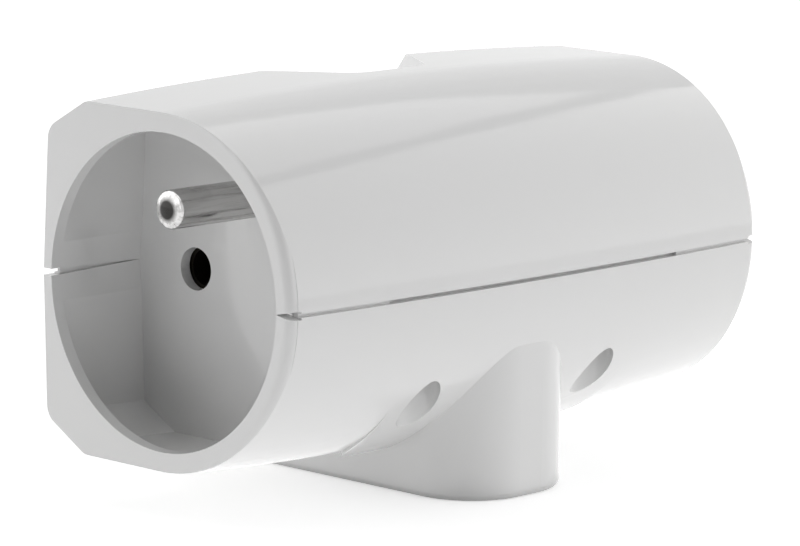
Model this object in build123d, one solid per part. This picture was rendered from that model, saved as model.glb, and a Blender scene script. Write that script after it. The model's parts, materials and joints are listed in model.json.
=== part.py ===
from build123d import *

import math
import os

# Multi socket adapter: a tube with a recessed socket at each end, a slim two-pin outlet below
# and a plug on its wall side. The tube runs along X, +Y points at the wall, +Z is up, and the
# underside of the slim outlet is z = 0. All sizes are in millimetres.

# Tube: two moulded halves that meet on the level plane through the socket axes
TUBE_LENGTH = 86.0
END_RADIUS = 21.9
MID_RADIUS = 23.3
WALL_SIDE = 20.9
WALL_SIDE_DRAFT = 2.3
CORNER_ALONG_Y = 6.6
CORNER_ALONG_Z = 3.9
CORNER_BEND = 2.5
SHELL_WALL = 1.6
RIM_ROUNDING = 1.2

# Recessed sockets at the two ends
MOUTH_RADIUS = 19.5
LIP_THICKNESS = 1.7
RECESS_DEPTH = 15.0
FLOOR_THICKNESS = 1.5
CONTACT_PITCH = 19.0
CONTACT_HOLE_RADIUS = 2.7
EARTH_OFFSET = 10.0
EARTH_PROJECTION = 14.0
PIN_RADIUS = 2.4
PIN_SHANK_RADIUS = 2.0
PIN_TIP_ROUNDING = 1.8

# Slim outlet that hangs under the middle of the tube
OUTLET_WIDTH = 21.6
OUTLET_DROP = 27.8
OUTLET_FRONT = 21.7
OUTLET_BACK = 20.0
OUTLET_FRONT_RADIUS = 8.8
OUTLET_BACK_RADIUS = 3.0
OUTLET_WALL = 1.8
OUTLET_FLOOR = 2.0
OUTLET_HOLE_RADIUS = 2.3
OUTLET_EDGE_ROUNDING = 0.8

# Finger recess above the plug, in plan
GRIP_BASE_Y = 2.8
GRIP_BASE_HALF = 6.2
GRIP_WALL_ANGLE = 55.4
GRIP_CORNER_RADIUS = 5.0
GRIP_FLOOR = 16.2

# Plug block with its two pins and the sleeve for the wall socket's earth pin
NECK_LENGTH = 15.0
NECK_WIDTH = 35.0
NECK_HEIGHT = 28.4
FLANGE_WIDTH = 37.2
FLANGE_THICKNESS = 3.0
PLUG_PIN_LENGTH = 19.0
PLUG_PIN_RELIEF = 0.5
SLEEVE_OUTER_RADIUS = 3.3
SLEEVE_BORE_RADIUS = 2.45
SLEEVE_DEPTH = 15.5
NECK_TIP_CHAMFER = 0.8
NECK_FRONT_SKIN = 1.0
EARTH_MOUTH_RADIUS = 2.7

# Seam between the halves
SEAM_HEIGHT = 0.5
SEAM_DEPTH = 0.6
SEAM_DEPTH_MIDDLE = 1.2
NOTCH_HEIGHT = 0.85
NOTCH_OPENING = 1.05
GAP_DEPTH = 0.6

# Case screws
FRONT_SCREW_X = 16.1
FRONT_SCREW_GAP = 0.75
REAR_SCREW_X = 22.6
REAR_SCREW_Y = 16.6
FRONT_BOSS_RADIUS = 4.2
REAR_BOSS_RADIUS = 3.6
COUNTERBORE_RADIUS = 2.7
SCREW_SEAT = 6.0
SCREW_SHANK_RADIUS = 1.4
SCREW_DEPTH = 9.0
SCREW_HEAD_RADIUS = 2.5
SCREW_HEAD_HEIGHT = 2.0
LAND_RADIUS = 5.4
LAND_TOP_Y = -20.5
LAND_INNER_Y = -6.5
LAND_BOW_RADIUS = 25.5
LAND_BOW_ANGLE = 28.0
LAND_SINK = 0.05
SCREW_HEAD_CHAMFER = 0.6
SCREW_CROSS_HALF = 1.8
SCREW_CROSS_WIDTH = 0.7
SCREW_CROSS_DEPTH = 1.1

# Ribs that hold the brass work
RIB_GAP = 1.1
RIB_THICKNESS = 1.5
RIB_HALF = 13.0

# Brass work
STRIP = 0.8
STRIP_WIDTH = 5.0
CLIP_WALL = 0.6
CLIP_BORE_RADIUS = 2.35
CLIP_LENGTH = 13.0
CLIP_SLIT = 1.4
OUTLET_CLIP_BORE_RADIUS = 1.95
OUTLET_CLIP_LENGTH = 13.0
RIVET_RADIUS = 1.0
RIVET_HEAD_RADIUS = 1.7
RIVET_HEAD = 0.5
SPIGOT_RADIUS = 1.5
SPIGOT_PROUD = 0.4
CLIP_FOOT_WIDTH = 4.2
CLIP_FOOT_REACH = 2.2
OUTLET_TONGUE_WIDTH = 3.0
BAR_SHORT = 2.5
EARTH_TAB_REACH = 3.2
EARTH_BRANCH_HALF = 3.0
RIVET_X = 6.2
EARTH_WIDTH = 8.0
TAB_TOP = 3.0
STRAP_HALF = 2.3
STRAP_DROP = 2.2
STRAP_STEP_Y = -4.0
SLEEVING_WALL = 0.7
SLEEVING_OVERLAP = 2.0

# Clearances
FIT = 0.05
EASY_FIT = 0.15
CLIP_FIT = 0.3

HALF_LENGTH = TUBE_LENGTH / 2
AXIS_Z = OUTLET_DROP
FLOOR_X = HALF_LENGTH - RECESS_DEPTH
CAVITY_X = FLOOR_X - FLOOR_THICKNESS
CONTACT_Y = CONTACT_PITCH / 2
NECK_END = WALL_SIDE + NECK_LENGTH
CLIP_OUTER_RADIUS = CLIP_BORE_RADIUS + CLIP_WALL
BAR_TOP = -CLIP_OUTER_RADIUS
BAR_BOTTOM = BAR_TOP - STRIP
STRAP_X = CONTACT_Y
DRAFT_SLOPE = math.tan(math.radians(WALL_SIDE_DRAFT))
FLANGE_FACE = WALL_SIDE - SHELL_WALL - DRAFT_SLOPE * NECK_HEIGHT / 2 - FIT
BLOCK_BACK = FLANGE_FACE - FLANGE_THICKNESS
TAB_Y = BLOCK_BACK - STRIP - EASY_FIT
FRONT_SCREW_Y = -(CONTACT_Y + CLIP_OUTER_RADIUS + FRONT_BOSS_RADIUS + FRONT_SCREW_GAP)
RIB_X = STRAP_X + STRAP_HALF + FIT + SLEEVING_WALL + RIB_GAP + RIB_THICKNESS / 2
EARTH_TAB_X = CAVITY_X - FIT
# Reach of cutting shapes past the surface they cut, and a size past everything
OVER = 1.0
FAR = 200.0


def at_axis(shape):
    """Moves a shape drawn about the tube's axis up to its place over the underside."""
    return Pos(0, 0, AXIS_Z) * shape


def block(x_low, x_high, y_low, y_high, z_low, z_high):
    """Box between two corners."""
    size = (x_high - x_low, y_high - y_low, z_high - z_low)
    return Pos(x_low, y_low, z_low) * Box(*size, align=(Align.MIN, Align.MIN, Align.MIN))


def rod(radius, start, end, direction, centre):
    """Round bar along X, Y or Z between two distances; centre gives its other two coordinates."""
    body = Cylinder(radius, end - start, align=(Align.CENTER, Align.CENTER, Align.MIN))
    if direction == "x":
        return Pos(start, centre[0], centre[1]) * Rot(0, 90, 0) * body
    if direction == "y":
        return Pos(centre[0], start, centre[1]) * Rot(-90, 0, 0) * body
    return Pos(centre[0], centre[1], start) * body


def crown_radius(x):
    """Radius of the crowned tube at a distance from its middle."""
    rise = MID_RADIUS - END_RADIUS
    bow = (HALF_LENGTH ** 2 + rise ** 2) / (2 * rise)
    return MID_RADIUS - bow + math.sqrt(bow ** 2 - x ** 2)


def barrel_line(inset):
    """Crowned line of the tube's top, seen from the front."""
    end = END_RADIUS - inset
    middle = MID_RADIUS - inset
    return ThreePointArc((-HALF_LENGTH, end), (0, middle), (HALF_LENGTH, end))


def front_half(inset):
    """Round front of the tube: the crowned line turned half way about the tube's axis."""
    crown = barrel_line(inset)
    base = Polyline(crown @ 1, (HALF_LENGTH, 0), (-HALF_LENGTH, 0), crown @ 0)
    return revolve(Plane.XZ * make_face([crown, base]), Axis.X, 180)


def wall_half(inset):
    """Square wall side of the tube, with drafted faces and cut corners."""
    crown = barrel_line(inset)
    keel = mirror(crown, Plane.XZ)
    right = Line(crown @ 1, keel @ 1)
    left = Line(keel @ 0, crown @ 0)
    outline = Plane.XZ * make_face([crown, right, keel, left])
    depth = WALL_SIDE - inset
    body = extrude(outline, -depth)
    lean = MID_RADIUS * DRAFT_SLOPE
    drafted = Polyline((0, -MID_RADIUS), (depth - lean, -MID_RADIUS), (depth, 0),
                       (depth - lean, MID_RADIUS), (0, MID_RADIUS), close=True)
    body &= Pos(-HALF_LENGTH, 0, 0) * extrude(Plane.YZ * make_face(drafted), TUBE_LENGTH)
    # The corner's cut keeps its distance from the outer one
    diagonal = math.hypot(CORNER_ALONG_Y, CORNER_ALONG_Z)
    corner = CORNER_ALONG_Y * CORNER_ALONG_Z / diagonal
    shrink = inset * ((CORNER_ALONG_Y + CORNER_ALONG_Z) / diagonal - 1)
    scale = (corner - shrink) / corner
    for side in (1, -1):
        crowned_face = body.faces().sort_by(Axis.Z)[-1 if side > 0 else 0]
        edge = crowned_face.edges().sort_by(Axis.Y)[-1]
        body = chamfer(edge, CORNER_ALONG_Y * scale, CORNER_ALONG_Z * scale, reference=crowned_face)
    return body


def grip_cutter(inset):
    """Finger recess: a tapered notch in plan, cut down to just above the plug's neck."""
    angle = math.radians(GRIP_WALL_ANGLE)
    base_y = GRIP_BASE_Y - inset
    base_half = GRIP_BASE_HALF + inset * math.tan(angle / 2)
    mouth_y = WALL_SIDE + 4 * OVER
    mouth_half = base_half + (mouth_y - base_y) / math.tan(angle)
    outline = Polyline((-mouth_half, mouth_y), (-base_half, base_y), (base_half, base_y),
                       (mouth_half, mouth_y), close=True)
    plan = make_face(outline)
    plan = fillet(plan.vertices().sort_by(Axis.Y)[:2], GRIP_CORNER_RADIUS + inset)
    floor = GRIP_FLOOR - inset
    return Pos(0, 0, floor) * extrude(plan, MID_RADIUS + OVER - floor)


def bent_corners(body):
    """Wall half with its cut corners run softly into the faces beside them."""
    long_edges = [e for e in body.edges() if e.length > TUBE_LENGTH - OVER]
    bends = [e for e in long_edges if e.center().Y > WALL_SIDE / 2 and abs(e.center().Z) > WALL_SIDE / 2]
    return fillet(bends, CORNER_BEND)


def tube_form(inset):
    """Solid form of the tube about its own axis, every face moved in by the inset."""
    wall_side = wall_half(inset)
    if inset < CORNER_BEND / 2:
        wall_side = bent_corners(wall_side)
    return front_half(inset) + wall_side - grip_cutter(inset)


def cavity_form():
    """Sealed middle of the tube: its inner section at the recess floor, carried straight through."""
    thin_slice = wall_half(SHELL_WALL) & block(CAVITY_X - OVER, CAVITY_X, -FAR, FAR, -FAR, FAR)
    end = thin_slice.faces().sort_by(Axis.X)[-1]
    front = rod(crown_radius(CAVITY_X) - SHELL_WALL, -CAVITY_X, CAVITY_X, "x", (0, 0))
    front &= block(-FAR, FAR, -FAR, 0, -FAR, FAR)
    return front + extrude(end, 2 * CAVITY_X, dir=(-1, 0, 0)) - grip_cutter(SHELL_WALL)


def rim_cutter(side):
    """Crescent that rounds the front of one rim and fades out at the top and the bottom."""
    face_x = side * HALF_LENGTH
    inner = END_RADIUS
    arc = ThreePointArc((face_x, inner),
                        (face_x - side * RIM_ROUNDING * (1 - math.sqrt(0.5)),
                         inner + RIM_ROUNDING * math.sqrt(0.5)),
                        (face_x - side * RIM_ROUNDING, inner + RIM_ROUNDING))
    beyond = inner + RIM_ROUNDING + OVER
    outside = Polyline(arc @ 1, (face_x - side * RIM_ROUNDING, beyond),
                       (face_x + side * OVER, beyond), (face_x + side * OVER, inner), arc @ 0)
    profile = Plane.XZ * make_face([arc, outside])
    ring = revolve(profile, Axis.X, 180)
    return Pos(0, RIM_ROUNDING, 0) * ring


def outlet_prism(inset, low, high):
    """Upright prism of the slim outlet with rounded corners, between two heights."""
    half = OUTLET_WIDTH / 2 - inset
    front = -(OUTLET_FRONT - inset)
    back = OUTLET_BACK - inset
    plan = Pos(0, (front + back) / 2) * Rectangle(2 * half, back - front)
    corners = plan.vertices().group_by(Axis.Y)
    plan = fillet(corners[0], OUTLET_FRONT_RADIUS - inset)
    corners = plan.vertices().group_by(Axis.Y)
    plan = fillet(corners[-1], OUTLET_BACK_RADIUS - inset)
    return Pos(0, 0, low) * extrude(plan, high - low)


def screw_land(side):
    """Low land at a front screw: it leaves the tube softly and runs into the outlet's flank."""
    x = side * FRONT_SCREW_X
    low = -MID_RADIUS - OVER
    high = -SCREW_SEAT
    corner_y = LAND_INNER_Y - LAND_RADIUS
    x_low, x_high = sorted((x, side * (OUTLET_WIDTH / 2 - OUTLET_WALL)))
    land = rod(LAND_RADIUS, low, high, "z", (x, corner_y))
    land += block(x - LAND_RADIUS, x + LAND_RADIUS, LAND_TOP_Y, corner_y, low, high)
    land += block(x_low, x_high, LAND_TOP_Y, LAND_INNER_Y, low, high)
    # The land's face is a wider round that touches the tube above the screw
    angle = math.radians(LAND_BOW_ANGLE)
    offset = LAND_BOW_RADIUS - crown_radius(FRONT_SCREW_X + LAND_RADIUS) + LAND_SINK
    centre = (offset * math.cos(angle), offset * math.sin(angle))
    return land & rod(LAND_BOW_RADIUS, -HALF_LENGTH, HALF_LENGTH, "x", centre)


def screw_places():
    """Axis and boss radius of the four case screws."""
    places = []
    for side in (-1, 1):
        places.append((side * FRONT_SCREW_X, FRONT_SCREW_Y, FRONT_BOSS_RADIUS))
        places.append((side * REAR_SCREW_X, REAR_SCREW_Y, REAR_BOSS_RADIUS))
    return places


def seam_cutter(outer):
    """Groove along the seam, deeper over the middle, and the notches in the four rims."""
    band = block(-FAR, FAR, -FAR, FAR, -SEAM_HEIGHT / 2, SEAM_HEIGHT / 2)
    ring = (outer & band) - tube_form(SEAM_DEPTH)
    deep = (outer & band) - tube_form(SEAM_DEPTH_MIDDLE)
    ring += deep & block(-CAVITY_X, CAVITY_X, -FAR, 0, -SEAM_HEIGHT, SEAM_HEIGHT)
    notch = NOTCH_OPENING / 2
    for side in (-1, 1):
        face_x = side * (HALF_LENGTH + OVER)
        lip_x = side * (HALF_LENGTH - LIP_THICKNESS - FIT)
        low, high = sorted((face_x, lip_x))
        ring += block(low, high, MOUTH_RADIUS - OVER, WALL_SIDE + OVER,
                      -NOTCH_HEIGHT / 2, NOTCH_HEIGHT / 2)
        wedge = Polyline((-MOUTH_RADIUS + FIT, 0), (-END_RADIUS, notch), (-END_RADIUS - OVER, notch),
                         (-END_RADIUS - OVER, -notch), (-END_RADIUS, -notch), close=True)
        ring += Pos(low, 0, 0) * extrude(Plane.YZ * make_face(wedge), high - low)
    return ring


def well_seam_cutter():
    """Narrow wedge gap in the well walls at the seam, widest at the mouth."""
    cuts = []
    for side in (-1, 1):
        mouth_x = side * (HALF_LENGTH - LIP_THICKNESS - FIT)
        floor_x = side * FLOOR_X
        wedge = Polyline((mouth_x, NOTCH_HEIGHT / 2), (floor_x, 0), (mouth_x, -NOTCH_HEIGHT / 2),
                         close=True)
        prism = extrude(Plane.XZ * make_face(wedge), WALL_SIDE, both=True)
        cuts.append(prism & block(-FAR, FAR, -MOUTH_RADIUS - GAP_DEPTH,
                                  WALL_SIDE - SHELL_WALL + GAP_DEPTH, -OVER, OVER))
    return cuts[0] + cuts[1]


def neck_bar(width, height, start, end):
    """Bar along Y with the oval outline of the plug's neck."""
    return Pos(0, start, 0) * extrude(Plane.XZ * SlotOverall(width, height), start - end)


def build_shells():
    """Upper and lower half of the case."""
    outer = tube_form(0)
    for side in (-1, 1):
        outer -= rim_cutter(side)
    inner = tube_form(SHELL_WALL)
    wells = None
    for side in (-1, 1):
        low, high = sorted((side * FLOOR_X, side * (HALF_LENGTH - LIP_THICKNESS)))
        well = inner & block(low, high, -FAR, FAR, -FAR, FAR)
        low, high = sorted((side * FLOOR_X, side * (HALF_LENGTH + 1)))
        well += rod(MOUTH_RADIUS, low, high, "x", (0, 0))
        wells = well if wells is None else wells + well
    cavity = cavity_form()

    holes = neck_bar(NECK_WIDTH + 2 * EASY_FIT, NECK_HEIGHT + 2 * EASY_FIT, FLANGE_FACE - FIT,
                     WALL_SIDE + OVER)
    for side in (-1, 1):
        low, high = sorted((side * (CAVITY_X - OVER), side * (FLOOR_X + OVER)))
        for y in (-CONTACT_Y, CONTACT_Y):
            holes += rod(CONTACT_HOLE_RADIUS, low, high, "x", (y, 0))
        holes += rod(PIN_SHANK_RADIUS + FIT, low, high, "x", (0, EARTH_OFFSET))

    seam = seam_cutter(outer) + well_seam_cutter()
    upper_space = block(-FAR, FAR, -FAR, FAR, 0, FAR)
    lower_space = block(-FAR, FAR, -FAR, FAR, -FAR, 0)

    # Upper half
    upper = (outer & upper_space) - wells - cavity
    for x, y, radius in screw_places():
        upper += rod(radius, 0, MID_RADIUS, "z", (x, y)) & outer & upper_space
    for x in (-RIB_X, RIB_X):
        rib = block(x - RIB_THICKNESS / 2, x + RIB_THICKNESS / 2, -RIB_HALF, RIB_HALF,
                    CLIP_OUTER_RADIUS + EASY_FIT, MID_RADIUS)
        rib -= block(x - RIB_THICKNESS, x + RIB_THICKNESS, -EARTH_WIDTH / 2 - EASY_FIT,
                     EARTH_WIDTH / 2 + EASY_FIT, 0, EARTH_OFFSET + STRIP / 2)
        upper += rib & inner
    for x, y, radius in screw_places():
        upper -= rod(SCREW_SHANK_RADIUS + FIT, -OVER, SCREW_DEPTH + CLIP_FIT, "z", (x, y))
    upper -= holes
    upper -= seam

    # Lower half with the slim outlet
    prism = outlet_prism(0, -OUTLET_DROP, 0)
    foot = prism.faces().sort_by(Axis.Z)[0]
    prism = fillet(foot.edges(), OUTLET_EDGE_ROUNDING)
    lower = (outer & lower_space) + prism
    for side in (-1, 1):
        lower += screw_land(side)
    lower -= wells
    lower -= cavity
    lower -= outlet_prism(OUTLET_WALL, -OUTLET_DROP + OUTLET_FLOOR, 0) & block(
        -FAR, FAR, -FAR, FAR, -FAR, -SCREW_SEAT)
    for x, y, radius in screw_places():
        lower += rod(radius, -MID_RADIUS, 0, "z", (x, y)) & outer & lower_space
    for x in (-RIB_X, RIB_X):
        rib = block(x - RIB_THICKNESS / 2, x + RIB_THICKNESS / 2, -RIB_HALF, RIB_HALF,
                    -MID_RADIUS, BAR_BOTTOM)
        lower += rib & inner
    for x, y, radius in screw_places():
        lower -= rod(COUNTERBORE_RADIUS, -FAR, -SCREW_SEAT, "z", (x, y))
        lower -= rod(SCREW_SHANK_RADIUS + EASY_FIT, -SCREW_SEAT - OVER, OVER, "z", (x, y))
    for y in (-CONTACT_Y, CONTACT_Y):
        lower -= rod(OUTLET_HOLE_RADIUS, -OUTLET_DROP - OVER, -OUTLET_DROP + OUTLET_FLOOR + OVER, "z",
                     (0, y))
    lower -= holes
    lower -= seam
    return upper, lower


def build_plug_block():
    """One-piece neck that holds both plug pins and the earth sleeve."""
    body = neck_bar(NECK_WIDTH, NECK_HEIGHT, BLOCK_BACK, NECK_END)
    body += neck_bar(FLANGE_WIDTH, NECK_HEIGHT, BLOCK_BACK, FLANGE_FACE)
    tip = body.faces().sort_by(Axis.Y)[-1]
    body = chamfer(tip.edges(), NECK_TIP_CHAMFER)
    for x in (-CONTACT_Y, CONTACT_Y):
        body -= rod(PIN_SHANK_RADIUS + FIT, BLOCK_BACK - OVER, NECK_END + OVER, "y", (x, 0))
        body -= rod(PIN_RADIUS + FIT, NECK_END - PLUG_PIN_RELIEF, NECK_END + OVER, "y", (x, 0))
    earth = (0, EARTH_OFFSET)
    body -= rod(SLEEVE_OUTER_RADIUS + FIT, BLOCK_BACK - OVER, NECK_END - NECK_FRONT_SKIN, "y", earth)
    body -= rod(EARTH_MOUTH_RADIUS, NECK_END - 2 * NECK_FRONT_SKIN, NECK_END + OVER, "y", earth)
    return body


def contact_pin(shoulder, tip, back, direction, centre):
    """Pin with a rounded tip, a shoulder, and a thinner shank and spigot that its strip takes."""
    pin = rod(PIN_RADIUS, shoulder, tip, direction, centre)
    along = Axis.X if direction == "x" else Axis.Y
    edge = pin.edges().filter_by(GeomType.CIRCLE).sort_by(along)[-1]
    pin = fillet(edge, PIN_TIP_ROUNDING)
    pin += rod(PIN_SHANK_RADIUS, back, shoulder + OVER, direction, centre)
    pin += rod(SPIGOT_RADIUS, back - STRIP - SPIGOT_PROUD, back + OVER, direction, centre)
    return pin


def build_plug_pin(x):
    """Plug pin, whose shoulder is level with the neck's face, over a small relief."""
    return contact_pin(NECK_END, NECK_END + PLUG_PIN_LENGTH, TAB_Y + STRIP, "y", (x, 0))


def build_earth_sleeve():
    """Blind brass sleeve that takes the wall socket's earth pin."""
    start = TAB_Y + STRIP
    earth = (0, EARTH_OFFSET)
    outer = rod(SLEEVE_OUTER_RADIUS, start, NECK_END - NECK_FRONT_SKIN - FIT, "y", earth)
    outer += rod(SPIGOT_RADIUS, TAB_Y - SPIGOT_PROUD, start + OVER, "y", earth)
    outer -= rod(SLEEVE_BORE_RADIUS, NECK_END - SLEEVE_DEPTH, NECK_END + OVER, "y", earth)
    return outer


def build_earth_pin(side):
    """Earth pin of one socket, which shoulders on the recess floor."""
    pin = contact_pin(FLOOR_X, FLOOR_X + EARTH_PROJECTION, EARTH_TAB_X, "x", (0, EARTH_OFFSET))
    return pin if side > 0 else mirror(pin, Plane.YZ)


def build_earth_bar():
    """Strip between the earth pins with upturned ends and a branch to the plug's sleeve."""
    low = EARTH_OFFSET - STRIP / 2
    high = EARTH_OFFSET + STRIP / 2
    tab_low = low - EARTH_TAB_REACH
    tab_high = high + EARTH_TAB_REACH
    bar = block(-EARTH_TAB_X, EARTH_TAB_X, -EARTH_WIDTH / 2, EARTH_WIDTH / 2, low, high)
    for side in (-1, 1):
        x_low, x_high = sorted((side * EARTH_TAB_X, side * (EARTH_TAB_X - STRIP)))
        bar += block(x_low, x_high, -EARTH_WIDTH / 2, EARTH_WIDTH / 2, tab_low, tab_high)
        bar -= rod(SPIGOT_RADIUS, x_low - OVER, x_high + OVER, "x", (0, EARTH_OFFSET))
    bar += block(-EARTH_BRANCH_HALF, EARTH_BRANCH_HALF, 0, TAB_Y + STRIP, low, high)
    bar += block(-EARTH_BRANCH_HALF, EARTH_BRANCH_HALF, TAB_Y, TAB_Y + STRIP, tab_low, tab_high)
    bar -= rod(SPIGOT_RADIUS, TAB_Y - OVER, TAB_Y + STRIP + OVER, "y", (0, EARTH_OFFSET))
    return bar


def build_wall_bar():
    """Strip along the wall side, with an upright tab for one plug pin."""
    end_x = CAVITY_X - BAR_SHORT
    half = STRIP_WIDTH / 2
    bar = block(-end_x, end_x, CONTACT_Y - half, CONTACT_Y + half, BAR_BOTTOM, BAR_TOP)
    bar += block(-CONTACT_Y - half, -CONTACT_Y + half, CONTACT_Y, TAB_Y + STRIP, BAR_BOTTOM, BAR_TOP)
    bar += block(-CONTACT_Y - half, -CONTACT_Y + half, TAB_Y, TAB_Y + STRIP, BAR_BOTTOM, TAB_TOP)
    bar -= rod(SPIGOT_RADIUS, TAB_Y - OVER, TAB_Y + STRIP + OVER, "y", (-CONTACT_Y, 0))
    return bar - bar_rivet_holes(CONTACT_Y)


def build_front_bar():
    """Strip along the front side."""
    end_x = CAVITY_X - BAR_SHORT
    half = STRIP_WIDTH / 2
    bar = block(-end_x, end_x, -CONTACT_Y - half, -CONTACT_Y + half, BAR_BOTTOM, BAR_TOP)
    return bar - bar_rivet_holes(-CONTACT_Y)


def bar_rivet_holes(y):
    """Rivet holes of one bar: two for the socket clips and one for the outlet clip."""
    holes = rod(RIVET_RADIUS, BAR_BOTTOM - OVER, BAR_TOP + OVER, "z", (0, y))
    for x in (-RIVET_X, RIVET_X):
        holes += rod(RIVET_RADIUS, BAR_BOTTOM - OVER, BAR_TOP + OVER, "z", (x, y))
    return holes


def build_cross_strap():
    """Strap from the other plug pin, under the wall-side bar, to the front bar."""
    low = BAR_BOTTOM - STRAP_DROP
    left = STRAP_X - STRAP_HALF
    right = STRAP_X + STRAP_HALF
    strap = block(left, right, TAB_Y, TAB_Y + STRIP, low - STRIP, TAB_TOP)
    strap += block(left, right, STRAP_STEP_Y, TAB_Y + STRIP, low - STRIP, low)
    strap += block(left, right, STRAP_STEP_Y, STRAP_STEP_Y + STRIP, low - STRIP, BAR_BOTTOM)
    strap += block(RIVET_X - STRAP_HALF, right, -CONTACT_Y - STRAP_HALF, STRAP_STEP_Y + STRIP,
                   BAR_BOTTOM - STRIP, BAR_BOTTOM)
    strap -= rod(SPIGOT_RADIUS, TAB_Y - OVER, TAB_Y + STRIP + OVER, "y", (STRAP_X, 0))
    strap -= rod(RIVET_RADIUS, BAR_BOTTOM - STRIP - OVER, BAR_BOTTOM + OVER, "z", (RIVET_X, -CONTACT_Y))
    return strap


def build_strap_sleeve():
    """Insulating sleeve over the strap where it passes under the wall-side bar."""
    low = BAR_BOTTOM - STRAP_DROP
    half = STRAP_HALF + FIT
    grow = half + SLEEVING_WALL
    start = CONTACT_Y - STRIP_WIDTH / 2 - SLEEVING_OVERLAP
    end = TAB_Y - EASY_FIT
    outer = block(STRAP_X - grow, STRAP_X + grow, start, end,
                  low - STRIP - FIT - SLEEVING_WALL, low + FIT + SLEEVING_WALL)
    return outer - block(STRAP_X - half, STRAP_X + half, start - OVER, end + OVER,
                         low - STRIP - FIT, low + FIT)


def build_clip(x_side, y):
    """Socket contact: a slit tube that grips a plug pin, on a foot riveted to its bar."""
    end = CAVITY_X - CLIP_FIT
    start = end - CLIP_LENGTH
    foot = CLIP_FOOT_WIDTH / 2
    clip = rod(CLIP_OUTER_RADIUS, start, end, "x", (0, 0))
    clip += block(RIVET_X - CLIP_FOOT_REACH, start + OVER, -foot, foot,
                  -CLIP_OUTER_RADIUS, -CLIP_BORE_RADIUS)
    clip -= rod(CLIP_BORE_RADIUS, start - OVER, end + OVER, "x", (0, 0))
    clip -= block(start - OVER, end + OVER, -CLIP_SLIT / 2, CLIP_SLIT / 2, 0, CLIP_OUTER_RADIUS + OVER)
    clip -= rod(RIVET_RADIUS, -CLIP_OUTER_RADIUS - OVER, 0, "z", (RIVET_X, 0))
    if x_side < 0:
        clip = mirror(clip, Plane.YZ)
    return Pos(0, y, 0) * clip


def build_outlet_clip(y):
    """Contact of the slim outlet: an upright slit tube hung under its bar by a bent tongue."""
    bore = OUTLET_CLIP_BORE_RADIUS
    outer_radius = bore + CLIP_WALL
    half = OUTLET_TONGUE_WIDTH / 2
    low = -OUTLET_DROP + OUTLET_FLOOR + CLIP_FIT
    high = low + OUTLET_CLIP_LENGTH
    clip = rod(outer_radius, low, high, "z", (0, 0))
    clip -= rod(bore, low - OVER, high + OVER, "z", (0, 0))
    clip -= block(-outer_radius - OVER, 0, -CLIP_SLIT / 2, CLIP_SLIT / 2, low - OVER, high + OVER)
    clip += block(bore, outer_radius, -half, half, high - OVER, BAR_BOTTOM)
    clip += block(-CLIP_FOOT_REACH, outer_radius, -half, half, BAR_BOTTOM - CLIP_WALL, BAR_BOTTOM)
    clip -= rod(RIVET_RADIUS, BAR_BOTTOM - CLIP_WALL - OVER, BAR_BOTTOM + OVER, "z", (0, 0))
    return Pos(0, y, 0) * clip


def rivet(x, y, low, high):
    """Round rivet with a low head at each end of its grip."""
    body = rod(RIVET_RADIUS, low - RIVET_HEAD, high + RIVET_HEAD, "z", (x, y))
    body += rod(RIVET_HEAD_RADIUS, low - RIVET_HEAD, low, "z", (x, y))
    body += rod(RIVET_HEAD_RADIUS, high, high + RIVET_HEAD, "z", (x, y))
    return body


def build_rivets():
    """Rivets that fix the clips and the strap to the two bars."""
    rivets = []
    for y in (-CONTACT_Y, CONTACT_Y):
        for x in (-RIVET_X, RIVET_X):
            through_strap = x > 0 > y
            low = BAR_BOTTOM - STRIP if through_strap else BAR_BOTTOM
            rivets.append(rivet(x, y, low, BAR_TOP + CLIP_WALL))
        rivets.append(rivet(0, y, BAR_BOTTOM - CLIP_WALL, BAR_TOP))
    return rivets


def build_screws():
    """Four case screws, driven up from below."""
    screws = []
    for x, y, _ in screw_places():
        shank = rod(SCREW_SHANK_RADIUS, -SCREW_SEAT, SCREW_DEPTH, "z", (x, y))
        under = -SCREW_SEAT - SCREW_HEAD_HEIGHT
        head = rod(SCREW_HEAD_RADIUS, under, -SCREW_SEAT, "z", (x, y))
        edge = head.edges().filter_by(GeomType.CIRCLE).sort_by(Axis.Z)[0]
        head = chamfer(edge, SCREW_HEAD_CHAMFER)
        long = SCREW_CROSS_HALF
        short = SCREW_CROSS_WIDTH / 2
        bottom = under - OVER
        top = under + SCREW_CROSS_DEPTH
        head -= block(x - long, x + long, y - short, y + short, bottom, top)
        head -= block(x - short, x + short, y - long, y + long, bottom, top)
        screws.append(shank + head)
    return screws


def write(name, shapes):
    """Writes one named piece, or a group of like pieces, at its place over the underside."""
    placed = [at_axis(shape) for shape in shapes]
    whole = placed[0] if len(placed) == 1 else Compound(children=placed)
    export_step(whole, f"parts/{name}.step")


def main():
    os.makedirs("parts", exist_ok=True)
    upper, lower = build_shells()
    write("upper_shell", [upper])
    write("lower_shell", [lower])
    write("plug_block", [build_plug_block()])
    write("plug_pin_left", [build_plug_pin(-CONTACT_Y)])
    write("plug_pin_right", [build_plug_pin(CONTACT_Y)])
    write("plug_earth_sleeve", [build_earth_sleeve()])
    write("earth_pin_left", [build_earth_pin(-1)])
    write("earth_pin_right", [build_earth_pin(1)])
    write("earth_bar", [build_earth_bar()])
    write("wall_bar", [build_wall_bar()])
    write("front_bar", [build_front_bar()])
    write("cross_strap", [build_cross_strap()])
    write("strap_sleeve", [build_strap_sleeve()])
    write("clip_left_wall", [build_clip(-1, CONTACT_Y)])
    write("clip_left_front", [build_clip(-1, -CONTACT_Y)])
    write("clip_right_wall", [build_clip(1, CONTACT_Y)])
    write("clip_right_front", [build_clip(1, -CONTACT_Y)])
    write("outlet_clip_wall", [build_outlet_clip(CONTACT_Y)])
    write("outlet_clip_front", [build_outlet_clip(-CONTACT_Y)])
    write("rivets", build_rivets())
    write("case_screws", build_screws())


if __name__ == "__main__":
    main()
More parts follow.
